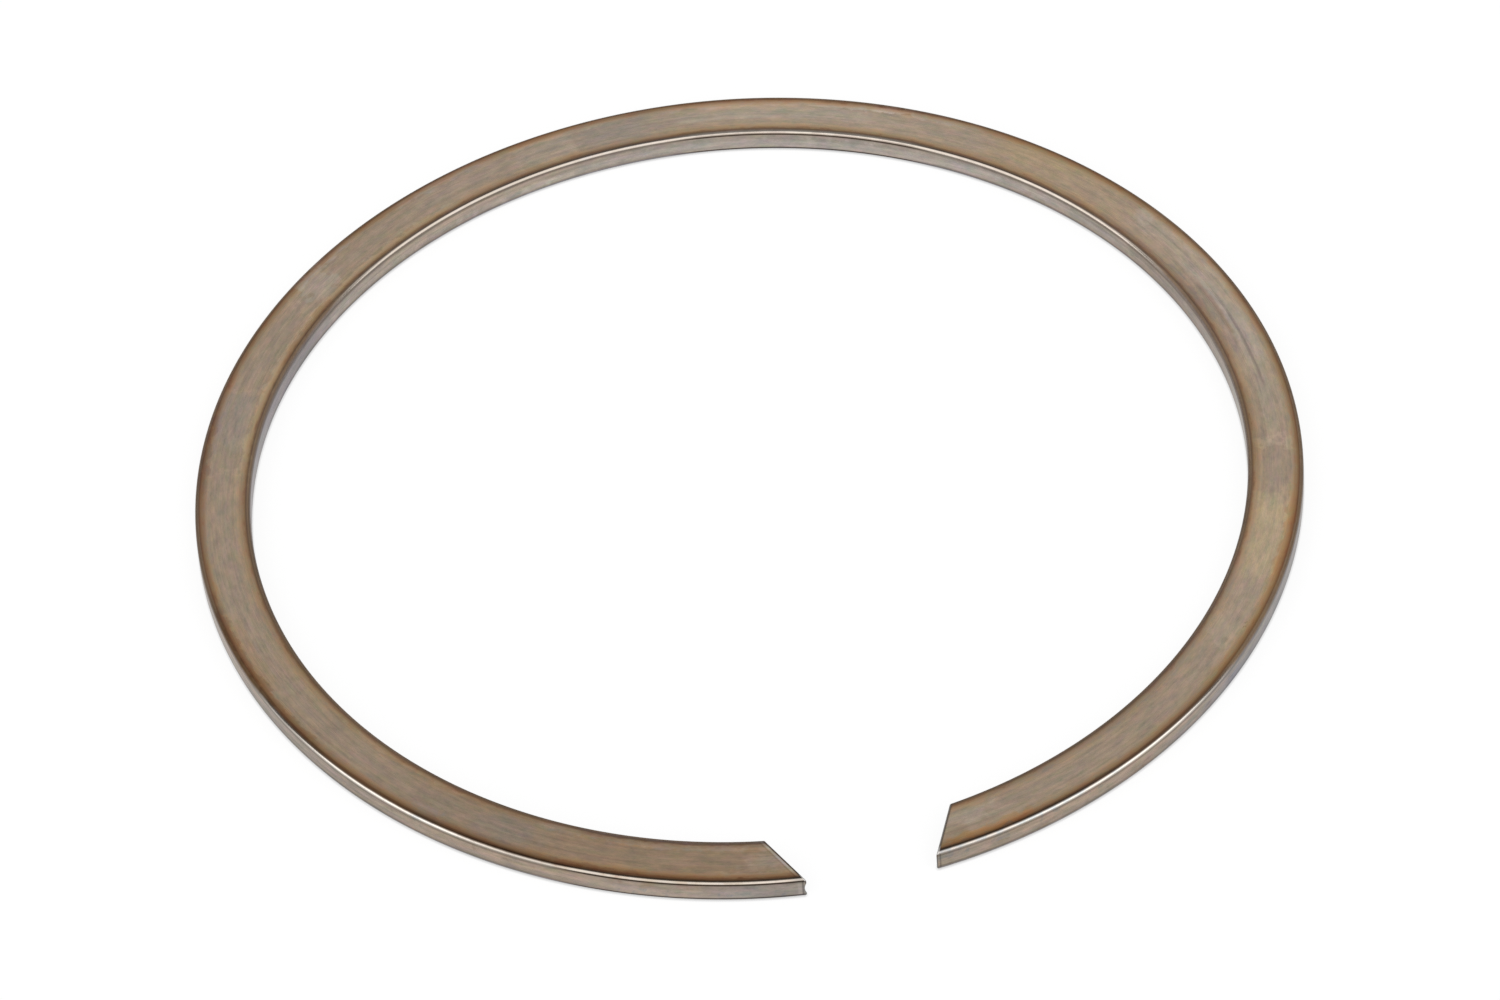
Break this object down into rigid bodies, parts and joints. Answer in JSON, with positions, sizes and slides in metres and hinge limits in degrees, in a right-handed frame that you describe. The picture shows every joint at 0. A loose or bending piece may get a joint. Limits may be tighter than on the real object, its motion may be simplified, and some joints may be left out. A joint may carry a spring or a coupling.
{
  "type": "snap ring",
  "caption": "Open ring of flat spring steel with rounded edges and slanted, undercut ends; it is spread over a shaft and closes into a groove to hold parts in place.",
  "frame": {"origin": "on the ring's axis, at mid-thickness", "axes": "+Z along the ring's axis; the gap faces -Y; seen from +Z with the gap at the bottom, the end with the hollowed face is on the left, at -X"},
  "size_m": [0.11, 0.1096, 0.0024],
  "materials": {
    "spring_steel": "drawn flat wire, satin, with a thin straw-brown heat tint that deepens towards the rims; the rounded edges shine"
  },
  "bodies": {
    "root": {"snap_ring": "spring_steel"}
  },
  "joints": []
}
